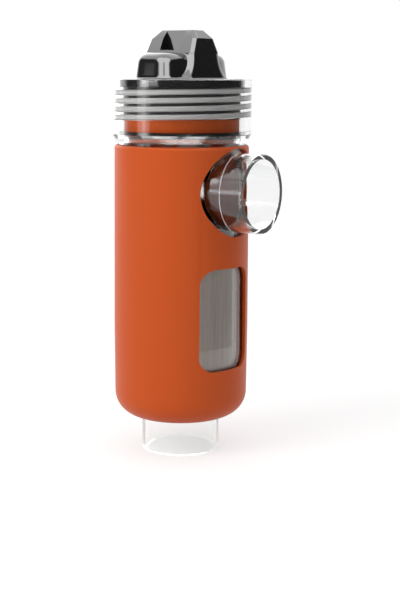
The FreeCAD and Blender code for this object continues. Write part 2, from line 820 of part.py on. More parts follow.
def make_cable_inlet():
    """Rubber grommet in the rear notch's wall. It takes the lead to the terminals."""
    body = new_body("cable_inlet")
    gap = size("grommet_gap")
    height = cover_low + size("cover_height") / 2
    lip_start = size("notch_back") + gap
    neck_start = size("notch_back") - size("cover_room_wall") - gap
    lip_radius = size("grommet_radius") + size("grommet_lip_margin")
    for label, start, length, radius in (
        ("outer_lip", lip_start, size("grommet_lip"), lip_radius),
        ("neck", neck_start, lip_start - neck_start + gap, size("grommet_radius") - gap),
    ):
        face = sketch_on(body, "XZ_Plane", label, -start)
        draw_circle(face, ZERO, height, radius)
        extrude(body, label + "_pad", face, length, reverse=True)
    bore = sketch_on(body, "XZ_Plane", "bore")
    draw_circle(bore, ZERO, height, size("grommet_hole_radius"))
    extrude(body, "bore_cut", bore, size("cover_half_length"), cut=True)
    return body


anode_stud_circle = anode_radius - size("electrode_wall") - size("stud_radius") - size("weld_gap")
cathode_stud_circle = inner_radius - size("electrode_wall") - size("stud_radius") - size("weld_gap")
stud_top = plug_top + size("washer_thickness") + size("nut_height") + size("thread_tail")
stud_places = [
    (circle * math.cos(math.radians(at)), circle * math.sin(math.radians(at)))
    for circle, at in ((anode_stud_circle, ANODE_STUD_DEGREES), (cathode_stud_circle, CATHODE_STUD_DEGREES))
]
stud_bore = size("stud_radius") + size("stud_gap")
lower_comb_back = size("electrode_low") - size("comb_base")
upper_comb_back = electrode_top + size("comb_base")
rod_low = lower_comb_back - size("nut_height") - size("thread_tail")
rod_top = upper_comb_back + size("nut_height") + size("thread_tail")
screw_places = []
for number in range(PLUG_SCREWS):
    turn = 2 * math.pi * number / PLUG_SCREWS
    across = screw_circle * math.cos(turn)
    along = screw_circle * math.sin(turn)
    screw_places.append((across, along, plug_low))
cover_seat = cover_top - size("screw_head_height") - size("screw_sink")
cover_screw_places = [(size("cover_screw_across") * side, ZERO, cover_seat) for side in (1, -1)]
seal_low = plug_low - size("seal_thickness")

parts = [
    make_vessel_tube(),
    make_vessel_floor(),
    make_inlet_spigot(),
    make_outlet_spigot(),
    make_neck_collar(),
    make_sleeve(),
    make_head_cap(),
    make_terminal_cover(),
    make_carrier_plug(),
    make_neck_seal(),
    make_tube("outer_cathode", cathode_radius, size("electrode_low"), electrode_length),
    make_tube("anode", anode_radius, size("electrode_low") + size("anode_setback"),
              electrode_length - size("anode_setback") * 2),
    make_tube("inner_cathode", inner_radius, size("electrode_low"), electrode_length),
    make_comb("lower_comb", size("electrode_low"), upward=True),
    make_comb("upper_comb", electrode_top, upward=False),
    make_cathode_bridges(),
    make_stud("anode_stud", electrode_top - size("stud_overlap"), stud_top, anode_stud_circle,
              ANODE_STUD_DEGREES),
    make_stud("cathode_stud", electrode_top - size("stud_overlap"), stud_top, cathode_stud_circle,
              CATHODE_STUD_DEGREES),
    make_stud("tie_rod", rod_low, rod_top, ZERO, 0),
    make_rings("tie_nuts", [(ZERO, ZERO, lower_comb_back - size("nut_height")), (ZERO, ZERO, upper_comb_back)],
               size("nut_radius"), stud_bore, size("nut_height"), sides=6),
    make_rings("stud_seals", [(x, y, seal_low) for x, y in stud_places],
               size("nut_radius"), stud_bore, size("seal_thickness")),
    make_rings("lower_nuts", [(x, y, seal_low - size("nut_height")) for x, y in stud_places],
               size("nut_radius"), stud_bore, size("nut_height"), sides=6),
    make_rings("terminal_washers", [(x, y, plug_top) for x, y in stud_places],
               size("nut_radius"), stud_bore, size("washer_thickness")),
    make_rings("terminal_nuts", [(x, y, plug_top + size("washer_thickness")) for x, y in stud_places],
               size("nut_radius"), stud_bore, size("nut_height"), sides=6),
    make_screws("plug_screws", screw_places, size("screw_length") + plug_top - plug_low - size("screw_end_gap"),
                head_up=False),
    make_screws("cover_screws", cover_screw_places, cover_seat - cover_low + size("head_wall"), head_up=True),
    make_cable_inlet(),
]

doc.recompute()

for thing in doc.Objects:
    if "Invalid" in thing.State or "Error" in thing.State:
        raise RuntimeError(f"{thing.Name} did not rebuild: {thing.State}")
for part in parts:
    shape = part.Shape
    if shape.isNull() or not shape.isValid():
        raise RuntimeError(f"{part.Label} has no valid shape")

os.makedirs("parts", exist_ok=True)
for part in parts:
    part.Shape.exportStep(f"parts/{part.Label}.step")
    box = part.Shape.BoundBox
    print(f"{part.Label:18s} solids {len(part.Shape.Solids)} volume {part.Shape.Volume:10.0f} "
          f"z {box.ZMin:7.2f} to {box.ZMax:7.2f}")
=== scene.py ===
import bmesh
import bpy
import math
import numpy as np
from mathutils import Matrix, Vector


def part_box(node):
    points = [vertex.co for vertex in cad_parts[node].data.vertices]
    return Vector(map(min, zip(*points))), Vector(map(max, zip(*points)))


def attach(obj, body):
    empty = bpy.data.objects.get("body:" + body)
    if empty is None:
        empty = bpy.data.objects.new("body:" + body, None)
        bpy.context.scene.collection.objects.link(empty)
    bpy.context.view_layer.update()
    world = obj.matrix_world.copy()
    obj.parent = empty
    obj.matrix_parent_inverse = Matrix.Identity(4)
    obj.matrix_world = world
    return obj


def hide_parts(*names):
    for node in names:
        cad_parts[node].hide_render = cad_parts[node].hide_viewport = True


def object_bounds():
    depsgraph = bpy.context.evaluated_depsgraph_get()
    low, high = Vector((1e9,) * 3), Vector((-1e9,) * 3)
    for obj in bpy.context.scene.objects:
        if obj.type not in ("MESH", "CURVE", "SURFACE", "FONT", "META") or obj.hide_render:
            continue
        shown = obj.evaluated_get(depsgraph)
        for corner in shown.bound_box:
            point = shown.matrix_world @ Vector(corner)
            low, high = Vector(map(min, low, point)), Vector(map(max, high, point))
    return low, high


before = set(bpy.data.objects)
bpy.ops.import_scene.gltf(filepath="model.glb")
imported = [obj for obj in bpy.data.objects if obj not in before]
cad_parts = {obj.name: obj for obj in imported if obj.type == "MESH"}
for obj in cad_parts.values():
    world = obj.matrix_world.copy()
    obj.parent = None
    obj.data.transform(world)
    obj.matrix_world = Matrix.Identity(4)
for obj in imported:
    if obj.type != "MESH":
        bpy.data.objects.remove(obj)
cad_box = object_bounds()

# Vessel: a clear acrylic tube with a moulded floor, open at the top, where the head screws in.
# Both are turned from stock and glued. The tube's side hole takes the outlet.

MM = 0.001
MERGE_DISTANCE = 0.001 * MM
FLAT_ANGLE = math.radians(0.5)
ROUNDED_ANGLE = math.radians(35.0)
SHARP_ANGLE = math.radians(30.0)


def linear(red, green, blue):
    """A display colour of 0 to 255 as the linear colour that a shader takes."""
    display = np.array([red, green, blue]) / 255.0
    value = np.where(display <= 0.04045, display / 12.92, ((display + 0.055) / 1.055) ** 2.4)
    return (*value.tolist(), 1.0)


def new_material(name, **sockets):
    """A material whose Principled shader has its sockets set by name, with _ for each space."""
    material = bpy.data.materials.new(name)
    material.use_nodes = True
    for socket, value in sockets.items():
        shader_of(material).inputs[socket.replace("_", " ")].default_value = value
    return material


def shader_of(material):
    """The material's own Principled shader."""
    return material.node_tree.nodes["Principled BSDF"]


def add_node(tree, kind, **settings):
    """A new node of a kind, with its settings."""
    node = tree.nodes.new(kind)
    for name, value in settings.items():
        setattr(node, name, value)
    return node


def link_all(tree, *pairs):
    """Links each pair of an output and an input."""
    for source, target in pairs:
        tree.links.new(source, target)


def new_effect(name, inputs, outputs):
    """An empty shader node group. Inputs are (name, kind, default) and outputs (name, kind)."""
    tree = bpy.data.node_groups.new(name, "ShaderNodeTree")
    for label, kind, default in inputs:
        socket = tree.interface.new_socket(label, in_out="INPUT", socket_type=kind)
        socket.default_value = default
    for label, kind in outputs:
        tree.interface.new_socket(label, in_out="OUTPUT", socket_type=kind)
    return tree, tree.nodes.new("NodeGroupInput"), tree.nodes.new("NodeGroupOutput")


def place_effect(material, effect, **values):
    """Puts a node group in a material with its own values and returns the group node."""
    node = add_node(material.node_tree, "ShaderNodeGroup", node_tree=effect)
    for name, value in values.items():
        node.inputs[name.replace("_", " ")].default_value = value
    return node


def bump_from(material, height, depth):
    """Turns a height output into the shader's normal. depth is in metres."""
    bump = add_node(material.node_tree, "ShaderNodeBump")
    bump.inputs["Distance"].default_value = depth
    link_all(
        material.node_tree,
        (height, bump.inputs["Height"]),
        (bump.outputs["Normal"], shader_of(material).inputs["Normal"]),
    )


# Handling: large soft smudges that change the roughness, and fine specks of dust.
handled, handled_in, handled_out = new_effect(
    "handled_surface",
    [("Roughness", "NodeSocketFloat", 0.3), ("Variation", "NodeSocketFloat", 0.1),
     ("Smudge Scale", "NodeSocketFloat", 30.0), ("Grain Scale", "NodeSocketFloat", 1500.0)],
    [("Roughness", "NodeSocketFloat"), ("Grain", "NodeSocketFloat")],
)
handled_place = add_node(handled, "ShaderNodeTexCoord")
smudge = add_node(handled, "ShaderNodeTexNoise")
smudge.inputs["Detail"].default_value = 3.0
grain = add_node(handled, "ShaderNodeTexNoise")
grain.inputs["Detail"].default_value = 1.0
spread = add_node(handled, "ShaderNodeMath", operation="MULTIPLY_ADD")
centred = add_node(handled, "ShaderNodeMath", operation="SUBTRACT")
centred.inputs[1].default_value = 0.5
link_all(
    handled,
    (handled_place.outputs["Object"], smudge.inputs["Vector"]),
    (handled_place.outputs["Object"], grain.inputs["Vector"]),
    (handled_in.outputs["Smudge Scale"], smudge.inputs["Scale"]),
    (handled_in.outputs["Grain Scale"], grain.inputs["Scale"]),
    (smudge.outputs["Fac"], centred.inputs[0]),
    (centred.outputs[0], spread.inputs[0]),
    (handled_in.outputs["Variation"], spread.inputs[1]),
    (handled_in.outputs["Roughness"], spread.inputs[2]),
    (spread.outputs[0], handled_out.inputs["Roughness"]),
    (grain.outputs["Fac"], handled_out.inputs["Grain"]),
)


def give_smudges(material, roughness, variation, smudges):
    """Gives a material the handled surface's roughness and returns the effect's node."""
    node = place_effect(
        material, handled, Roughness=roughness, Variation=variation, Smudge_Scale=smudges)
    link_all(
        material.node_tree, (node.outputs["Roughness"], shader_of(material).inputs["Roughness"]))
    return node


def give_handling(material, roughness, variation, smudges, grains, depth):
    """Adds the handled surface's roughness and a fine bump to a material. depth is in metres."""
    node = give_smudges(material, roughness, variation, smudges)
    node.inputs["Grain Scale"].default_value = grains
    bump_from(material, node.outputs["Grain"], depth)


clear_acrylic = new_material(
    "clear_acrylic", Base_Color=(0.965, 0.97, 0.968, 1.0), IOR=1.49, Transmission_Weight=1.0)
give_smudges(clear_acrylic, 0.02, 0.03, 25.0)

# Lamps shine through the acrylic, so that it throws only a faint shadow on what it holds.
light_path = add_node(clear_acrylic.node_tree, "ShaderNodeLightPath")
see_through = add_node(clear_acrylic.node_tree, "ShaderNodeBsdfTransparent")
see_through.inputs["Color"].default_value = (0.9, 0.9, 0.9, 1.0)
passing = add_node(clear_acrylic.node_tree, "ShaderNodeMixShader")
acrylic_output = clear_acrylic.node_tree.nodes["Material Output"]
link_all(
    clear_acrylic.node_tree,
    (light_path.outputs["Is Shadow Ray"], passing.inputs[0]),
    (shader_of(clear_acrylic).outputs[0], passing.inputs[1]),
    (see_through.outputs[0], passing.inputs[2]),
    (passing.outputs[0], acrylic_output.inputs["Surface"]),
)


def finish_piece(name, mesh, body, slot, material, *nodes):
    """Makes a piece of a mesh, shades its round walls smoothly and lets it ride on its body. It
    stands for the CAD nodes that are named."""
    mesh.materials.clear()
    mesh.materials.append(material)
    mesh.shade_smooth()
    mesh.set_sharp_from_angle(angle=SHARP_ANGLE)
    piece = bpy.data.objects.new(name, mesh)
    bpy.context.scene.collection.objects.link(piece)
    if nodes:
        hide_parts(*nodes)
    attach(piece, body)
    weighting = piece.modifiers.new("weighting", "WEIGHTED_NORMAL")
    weighting.keep_sharp = True
    return piece


def dress(node, body, slot, material, edge=0.0, above=0.0):
    """Stands for a CAD node with its own surface, its loose triangles joined. An edge above 0
    rounds the sharp edges by that many metres, where they lie higher than the height above."""
    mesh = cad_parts[node].data.copy()
    work = bmesh.new()
    work.from_mesh(mesh)
    bmesh.ops.remove_doubles(work, verts=work.verts, dist=MERGE_DISTANCE)
    if edge:
        bmesh.ops.dissolve_limit(
            work, angle_limit=FLAT_ANGLE, verts=work.verts, edges=work.edges)
        weight = work.edges.layers.float.new("bevel_weight_edge")
        for seam in work.edges:
            rounded = seam.calc_face_angle(0.0) > ROUNDED_ANGLE
            seam[weight] = float(rounded and min(end.co.z for end in seam.verts) > above)
    work.to_mesh(mesh)
    work.free()
    piece = finish_piece(node + "_surface", mesh, body, slot, material, node)
    if edge:
        rounding = piece.modifiers.new("rounding", "BEVEL")
        rounding.width = edge
        rounding.segments = 3
        rounding.limit_method = "WEIGHT"
        # The edges are rounded before the normals are weighted.
        piece.modifiers.move(1, 0)


for node in ("vessel_tube", "vessel_floor"):
    dress(node, "vessel", "clear_acrylic", clear_acrylic)

# Spigots: two stubs of clear pipe, one through the floor and one in the tube's side.
# They are cut to length and glued in, and take the pipes of the pool.

for node in ("inlet_spigot", "outlet_spigot"):
    dress(node, "vessel", "clear_acrylic", clear_acrylic)

# Neck collar: a thick turned ring of clear acrylic, glued over the tube's upper end.
# A coarse thread is cut in its bore, and the head screws into it.

THREAD_PITCH = 6.5 * MM
THREAD_DEPTH = 2.7 * MM
THREAD_FLAT = 0.75 * MM
THREAD_FOOT = 1.6 * MM
THREAD_ZERO = 266.9 * MM
THREAD_GAP = 0.45 * MM
THREAD_ROWS = 26
RUN_OUT = 0.12
GROOVE_TURNS = (0.55, 6.0)
RING_MERGE = 0.002 * MM
AROUND = 288
ANGLE = np.linspace(0.0, 2 * math.pi, AROUND + 1)[None, :]
FULL_ROW = np.ones_like(ANGLE)


def smooth_step(low, high, value):
    """0 up to low and 1 from high on, with an S-shaped curve between them."""
    share = np.clip((value - low) / (high - low), 0.0, 1.0)
    return share * share * (3.0 - 2.0 * share)


def thread_height(height, flat, foot, first_turn, last_turn):
    """Share of the thread's depth at each angle and height: 1 on the flat, falling in a straight
    flank to 0 at the foot, for the turn of the right-handed helix that is nearest in height. The
    thread starts after first_turn and ends before last_turn, each over a short run-out."""
    turns = (height - THREAD_ZERO) / THREAD_PITCH - ANGLE / (2 * math.pi)
    nearest = np.round(turns)
    away = np.abs(turns - nearest) * THREAD_PITCH
    along = nearest + ANGLE / (2 * math.pi)
    starting = smooth_step(first_turn, first_turn + RUN_OUT, along)
    ending = smooth_step(-last_turn, RUN_OUT - last_turn, -along)
    return np.clip((foot - away) / (foot - flat), 0.0, 1.0) * (starting * ending)


def ring_mesh(name, radius, height):
    """Closed surface about the vessel's axis: rows run along a closed profile and columns round
    the axis. The last column lies on the first, where the two are merged."""
    rows, columns = radius.shape
    points = np.stack([radius * np.cos(ANGLE), radius * np.sin(ANGLE), height], axis=-1).reshape(-1, 3)
    row, column = np.meshgrid(np.arange(rows), np.arange(columns - 1), indexing="ij")
    next_row = (row + 1) % rows
    faces = np.stack([
        row * columns + column,
        row * columns + column + 1,
        next_row * columns + column + 1,
        next_row * columns + column,
    ], axis=-1).reshape(-1, 4)
    mesh = bpy.data.meshes.new(name)
    mesh.from_pydata(points.tolist(), [], faces.tolist())
    work = bmesh.new()
    work.from_mesh(mesh)
    bmesh.ops.remove_doubles(work, verts=work.verts, dist=RING_MERGE)
    bmesh.ops.dissolve_degenerate(work, dist=RING_MERGE, edges=work.edges)
    bmesh.ops.recalc_face_normals(work, faces=work.faces)
    work.to_mesh(mesh)
    work.free()
    return mesh


def as_ring(profile):
    """A profile of (radius, height) rows as two full arrays round the axis."""
    profile = np.array(profile)
    return profile[:, :1] * FULL_ROW, profile[:, 1:] * FULL_ROW


def helix_rows(low, high):
    """Heights of rows that climb with the thread, a pitch a turn, and are held between low and
    high. The rows are spaced so that some lie on the thread's edges."""
    turns = math.ceil((high - low) / THREAD_PITCH) + 1
    first = math.floor((low - THREAD_ZERO) / THREAD_PITCH) - 1
    phase = np.arange((turns + 2) * THREAD_ROWS)[:, None] / THREAD_ROWS
    climb = THREAD_ZERO + (first + phase + ANGLE / (2 * math.pi)) * THREAD_PITCH
    return np.clip(climb, low, high)


collar_low, collar_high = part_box("neck_collar")
collar_radius = collar_high.x
collar_socket = 51.6 * MM
collar_bore = 48.0 * MM
collar_chamfer_depth = 3.6 * MM
collar_chamfer_rise = 6.0 * MM
collar_edge = 0.8 * MM
collar_edge_middle = 0.3 * collar_edge
tube_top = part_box("vessel_tube")[1].z
flange_seat = 295.2 * MM
outside = as_ring([
    (collar_socket, tube_top),
    (collar_socket, collar_low.z),
    (collar_radius - collar_chamfer_depth, collar_low.z),
    (collar_radius, collar_low.z + collar_chamfer_rise),
    (collar_radius, collar_high.z - collar_edge),
    (collar_radius - collar_edge_middle, collar_high.z - collar_edge_middle),
    (collar_radius - collar_edge, collar_high.z),
    (collar_socket, collar_high.z),
    (collar_socket, flange_seat),
])
bore_height = helix_rows(tube_top, flange_seat)[::-1]
groove = thread_height(
    bore_height, THREAD_FLAT + THREAD_GAP, THREAD_FOOT + THREAD_GAP, *GROOVE_TURNS)
bore_radius = collar_bore + THREAD_DEPTH * groove
collar_mesh = ring_mesh(
    "neck_collar_surface",
    np.vstack([outside[0], bore_radius]),
    np.vstack([outside[1], bore_height]),
)
finish_piece(
    "neck_collar_surface", collar_mesh, "vessel", "clear_acrylic", clear_acrylic, "neck_collar")

# The turned groove is left matt and paler than the clear wall. The paler acrylic is also a painted
# reflection: it stands in for the bright lines that light reflected inside the thread gives.
matt_groove_and_painted_glint = new_material(
    "matt_groove_and_painted_glint", Base_Color=(0.9, 0.9, 0.89, 1.0), IOR=1.49, Transmission_Weight=0.4)
give_smudges(matt_groove_and_painted_glint, 0.45, 0.1, 200.0)
collar_mesh.materials.append(matt_groove_and_painted_glint)
middles = np.empty(len(collar_mesh.polygons) * 3)
collar_mesh.polygons.foreach_get("center", middles)
middles = middles.reshape(-1, 3)
into_wall = np.hypot(middles[:, 0], middles[:, 1]) - collar_bore
groove_margin = 0.1 * MM
in_groove = (into_wall > groove_margin) & (into_wall < THREAD_DEPTH + groove_margin)
in_groove &= (middles[:, 2] > tube_top) & (middles[:, 2] < flange_seat)
# The groove faces take the paler acrylic, which carries the painted reflection of the thread's bright
# lines.
collar_mesh.polygons.foreach_set("material_index", in_groove.astype(np.int32))

# Sleeve: one drawn shell of orange plastic with a soft-touch coat, slid over the vessel.
# The window and the round hole for the outlet are cut through it before it is coated.

soft_orange = new_material(
    "soft_orange", Base_Color=linear(208, 84, 22), Specular_IOR_Level=0.3, Sheen_Weight=0.12,
    Sheen_Roughness=0.4)
give_handling(soft_orange, 0.5, 0.08, 22.0, 2600.0, 0.02 * MM)
dress("sleeve", "vessel", "orange_sleeve", soft_orange)

# Carrier plug and neck seal: the moulded orange plug carries the electrodes under the head,
# and the black rubber cord ring in its groove keeps the water in.

plug_orange = new_material("plug_orange", Base_Color=linear(196, 80, 14), Specular_IOR_Level=0.25)
give_handling(plug_orange, 0.45, 0.1, 30.0, 1800.0, 0.005 * MM)
black_rubber = new_material("black_rubber", Base_Color=linear(24, 23, 23), Specular_IOR_Level=0.4)
give_handling(black_rubber, 0.55, 0.1, 60.0, 3000.0, 0.02 * MM)
dress("carrier_plug", "head", "orange_plug", plug_orange)
dress("neck_seal", "seal", "black_rubber", black_rubber)

# Electrodes: three rolled titanium tubes one inside the other. The middle one has a dark
# oxide coat and is the anode, and strips welded across the tops join the two cathodes.

rolled, rolled_in, rolled_out = new_effect(
    "rolled_sheet",
    [("Light", "NodeSocketColor", (0.5, 0.5, 0.5, 1.0)), ("Dark", "NodeSocketColor", (0.3, 0.3, 0.3, 1.0)),
     ("Roughness", "NodeSocketFloat", 0.35)],
    [("Color", "NodeSocketColor"), ("Roughness", "NodeSocketFloat"), ("Height", "NodeSocketFloat")],
)
rolled_place = add_node(rolled, "ShaderNodeTexCoord")
stretch = add_node(rolled, "ShaderNodeMapping")
stretch.inputs["Scale"].default_value = (900.0, 900.0, 18.0)
lines = add_node(rolled, "ShaderNodeTexNoise")
lines.inputs["Scale"].default_value = 1.0
lines.inputs["Detail"].default_value = 2.0
tone = add_node(rolled, "ShaderNodeMix", data_type="RGBA")
rough_spread = add_node(rolled, "ShaderNodeMath", operation="MULTIPLY_ADD")
rough_spread.inputs[1].default_value = 0.2
link_all(
    rolled,
    (rolled_place.outputs["Object"], stretch.inputs["Vector"]),
    (stretch.outputs["Vector"], lines.inputs["Vector"]),
    (lines.outputs["Fac"], tone.inputs["Factor"]),
    (rolled_in.outputs["Dark"], tone.inputs["A"]),
    (rolled_in.outputs["Light"], tone.inputs["B"]),
    (lines.outputs["Fac"], rough_spread.inputs[0]),
    (rolled_in.outputs["Roughness"], rough_spread.inputs[2]),
    (tone.outputs["Result"], rolled_out.inputs["Color"]),
    (rough_spread.outputs[0], rolled_out.inputs["Roughness"]),
    (lines.outputs["Fac"], rolled_out.inputs["Height"]),
)


def rolled_metal(name, light, dark, roughness, depth):
    """A metal with fine lines up the sheet, from the rolled sheet effect. depth is in metres."""
    material = new_material(name, Metallic=1.0)
    node = place_effect(material, rolled, Light=light, Dark=dark, Roughness=roughness)
    link_all(
        material.node_tree,
        (node.outputs["Color"], shader_of(material).inputs["Base Color"]),
        (node.outputs["Roughness"], shader_of(material).inputs["Roughness"]),
    )
    bump_from(material, node.outputs["Height"], depth)
    return material


titanium = rolled_metal("titanium", linear(150, 138, 130), linear(96, 86, 80), 0.26, 0.03 * MM)
coated_titanium = rolled_metal(
    "coated_titanium", linear(64, 60, 57), linear(44, 41, 39), 0.5, 0.02 * MM)
dress("anode", "head", "coated_titanium", coated_titanium)
for node in ("outer_cathode", "inner_cathode", "cathode_bridges"):
    dress(node, "head", "titanium", titanium)

# Combs, rod and studs: moulded white combs hold the tubes apart, a titanium rod and two nuts
# clamp them, and two studs hang the tubes from the plug with seals, washers and nuts.

comb_white = new_material("comb_white", Base_Color=linear(225, 224, 220), Specular_IOR_Level=0.5)
give_handling(comb_white, 0.4, 0.1, 40.0, 1500.0, 0.02 * MM)
stainless = rolled_metal("stainless", linear(200, 200, 200), linear(170, 170, 170), 0.2, 0.01 * MM)
for node in ("lower_comb", "upper_comb"):
    dress(node, "head", "comb_plastic", comb_white)
for node in ("tie_rod", "tie_nuts", "anode_stud", "cathode_stud", "lower_nuts"):
    dress(node, "head", "titanium", titanium)
for node in ("terminal_washers", "terminal_nuts", "plug_screws"):
    dress(node, "head", "stainless", stainless)
dress("stud_seals", "head", "black_rubber", black_rubber)

# Head: moulded in dark gloss plastic, with a coarse thread on its skirt, a flange that
# closes the collar, a flat-sided grip and a round boss on each end of it. The terminals are
# in its hollow.

SLAB_HALF_WIDTH = 26.0 * MM
SLAB_HALF_LENGTH = 19.6 * MM
SLAB_DRAFT = 2.0 * MM
SLAB_FLARE = 3.0 * MM
SLAB_ROOT_FLARE = 9.0 * MM
SLAB_SQUARENESS = 9.0
BOSS_HALF_WIDTH = 21.0 * MM
BOSS_HALF_LENGTH = 46.8 * MM
BOSS_DRAFT = 2.4 * MM
BOSS_SQUARENESS = 4.0
BOSS_BLEND = 30.0
SHOULDER = 7.0 * MM
FOOT = 1.2 * MM
HOLLOW_HALF_WIDTH = 20.0 * MM
HOLLOW_HALF_LENGTH = 30.0 * MM
HOLLOW_SQUARENESS = 2.5
FLANGE_EDGE = 1.2 * MM
SHOULDER_ROWS = 11
WALL_ROWS = 9
TOP_ROWS = 9
ROUND_ROWS = 6
dark_gloss = new_material(
    "dark_gloss", Base_Color=linear(34, 34, 36), IOR=1.8, Coat_Weight=0.5, Coat_Roughness=0.04)
give_handling(dark_gloss, 0.1, 0.05, 35.0, 900.0, 0.004 * MM)

head_low, head_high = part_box("head_cap")
flange_radius = head_high.x
grip_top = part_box("terminal_cover")[0].z
flange_low = flange_seat + 0.3 * MM
head_base = flange_low + 6.5 * MM
skirt_radius = 47.4 * MM
skirt_core_radius = skirt_radius - 0.3 * MM
skirt_inner_radius = 37.0 * MM
hollow_roof = grip_top - 3.0 * MM


def squared_oval(half_width, half_length, squareness):
    """Distance from the axis to an oval's edge at each angle. A squareness of 2 is an ellipse, and
    a higher one draws its sides towards a rectangle's."""
    across = (np.abs(np.cos(ANGLE)) / half_width) ** squareness
    along = (np.abs(np.sin(ANGLE)) / half_length) ** squareness
    return (across + along) ** (-1.0 / squareness)


def grip_radius(height):
    """The grip's outline at each height: the larger of the flat-sided slab and the two bosses,
    blended where they meet. The slab leans in as a straight draft and flares at its root. The
    bosses lean in a little and end in a quarter-round shoulder at the top."""
    rise = (height - head_base) / (grip_top - head_base)
    flare = SLAB_FLARE * (1.0 - rise) + SLAB_ROOT_FLARE * (1.0 - rise) ** 3
    slab = squared_oval(SLAB_HALF_WIDTH - SLAB_DRAFT * rise, SLAB_HALF_LENGTH + flare, SLAB_SQUARENESS)
    into = np.clip((height - grip_top + SHOULDER) / SHOULDER, 0.0, 1.0)
    inset = SHOULDER * (1.0 - np.sqrt(1.0 - into * into)) + BOSS_DRAFT * rise
    boss = squared_oval(BOSS_HALF_WIDTH - inset, BOSS_HALF_LENGTH - inset, BOSS_SQUARENESS)
    return (slab ** BOSS_BLEND + boss ** BOSS_BLEND) ** (1.0 / BOSS_BLEND)


shoulder_turn = np.radians(np.linspace(90.0, 0.0, SHOULDER_ROWS))
shoulder_height = grip_top - SHOULDER * (1.0 - np.sin(shoulder_turn))
wall_height = np.linspace(grip_top - SHOULDER, head_base + FOOT, WALL_ROWS)[1:]
grip_height = np.concatenate([shoulder_height, wall_height])[:, None]
grip_rows = grip_radius(grip_height)
top_radius = np.linspace(0.0, 1.0, TOP_ROWS)[:-1, None] * grip_rows[:1]
foot_turn = np.radians(np.linspace(0.0, 90.0, ROUND_ROWS))[1:, None]
foot_rows = grip_radius(np.array([[head_base]])) + FOOT * (1.0 - np.cos(foot_turn))
foot_height = head_base + FOOT * (1.0 - np.sin(foot_turn))
flange_turn = np.radians(np.linspace(90.0, 0.0, ROUND_ROWS))
rounded_edge = [
    (flange_radius - FLANGE_EDGE * (1.0 - math.cos(turn)), head_base - FLANGE_EDGE * (1.0 - math.sin(turn)))
    for turn in flange_turn
]
flange = as_ring(rounded_edge + [
    (flange_radius, flange_low),
    (skirt_core_radius, flange_low),
    (skirt_core_radius, head_low.z),
    (skirt_inner_radius, head_low.z),
    (skirt_inner_radius, flange_low),
])
hollow_radius = squared_oval(HOLLOW_HALF_WIDTH, HOLLOW_HALF_LENGTH, HOLLOW_SQUARENESS)
head_mesh = ring_mesh(
    "head_cap_surface",
    np.vstack([
        top_radius, grip_rows, foot_rows, flange[0], hollow_radius, hollow_radius, 0.0 * FULL_ROW]),
    np.vstack([
        grip_top * np.ones_like(top_radius), grip_height * FULL_ROW, foot_height * FULL_ROW, flange[1],
        flange_low * FULL_ROW, hollow_roof * FULL_ROW, hollow_roof * FULL_ROW]),
)
finish_piece("head_cap_surface", head_mesh, "head", "head_gloss", dark_gloss, "head_cap")

# The thread is a ring sunk a little into the skirt, and its flanks are left matt.
RIDGE_TURNS = (0.75, 4.1)
THREAD_SINK = 0.05 * MM
thread_low = head_low.z + 0.2 * MM
thread_inside = skirt_radius - 1.5 * MM
skirt_height = helix_rows(thread_low, flange_low)[::-1]
ridge = thread_height(skirt_height, THREAD_FLAT, THREAD_FOOT, *RIDGE_TURNS)
thread_outside = skirt_radius - THREAD_SINK + (THREAD_DEPTH + THREAD_SINK) * ridge
thread_mesh = ring_mesh(
    "head_thread",
    np.vstack([thread_outside, thread_inside * FULL_ROW, thread_inside * FULL_ROW]),
    np.vstack([skirt_height, thread_low * FULL_ROW, flange_low * FULL_ROW]),
)
dark_thread = new_material("dark_thread", Base_Color=linear(44, 41, 39), Specular_IOR_Level=0.25)
give_handling(dark_thread, 0.45, 0.1, 60.0, 1500.0, 0.005 * MM)
finish_piece("head_thread", thread_mesh, "head", "head_gloss", dark_thread)

# Terminal cover: the narrower upper tier of the head, held by two sunk screws, with a rubber
# grommet in its rear notch where the lead goes in.

COVER_EDGE = 0.8 * MM
COVER_FOOT = 0.5 * MM
dress("terminal_cover", "head", "head_gloss", dark_gloss, edge=COVER_EDGE, above=grip_top + COVER_FOOT)
dress("cover_screws", "head", "stainless", stainless)
dress("cable_inlet", "head", "black_rubber", black_rubber)

# Floor: a plain pale sheet that the part stands on, without a seam or an edge in view. It glows
# a little where it is looked at, so that it stays as white as the surround.

FLOOR_REACH = 4.0
FLOOR_GLOW = 0.5
floor_mesh = bpy.data.meshes.new("floor")
floor_corners = [(across * FLOOR_REACH, along * FLOOR_REACH, 0)
                 for across, along in ((-1, -1), (1, -1), (1, 1), (-1, 1))]
floor_mesh.from_pydata(floor_corners, [], [(0, 1, 2, 3)])
floor = bpy.data.objects.new("floor", floor_mesh)
bpy.context.scene.collection.objects.link(floor)
pale_floor = new_material(
    "pale_floor", Base_Color=(0.82, 0.82, 0.82, 1.0), Roughness=0.9, Specular_IOR_Level=0.1,
    Emission_Color=(1.0, 1.0, 1.0, 1.0))
floor_mesh.materials.append(pale_floor)


def seen_share(tree):
    """1 where the camera, a gloss or glass looks straight at a surface, and 0 for its light."""
    path = add_node(tree, "ShaderNodeLightPath")
    first = add_node(tree, "ShaderNodeMath", operation="MAXIMUM")
    second = add_node(tree, "ShaderNodeMath", operation="MAXIMUM")
    plain = add_node(tree, "ShaderNodeMath", operation="LESS_THAN")
    plain.inputs[1].default_value = 0.5
    share = add_node(tree, "ShaderNodeMath", operation="MULTIPLY")
    link_all(
        tree,
        (path.outputs["Is Camera Ray"], first.inputs[0]),
        (path.outputs["Is Glossy Ray"], first.inputs[1]),
        (first.outputs[0], second.inputs[0]),
        (path.outputs["Is Transmission Ray"], second.inputs[1]),
        (path.outputs["Diffuse Depth"], plain.inputs[0]),
        (second.outputs[0], share.inputs[0]),
        (plain.outputs[0], share.inputs[1]),
    )
    return share.outputs[0]


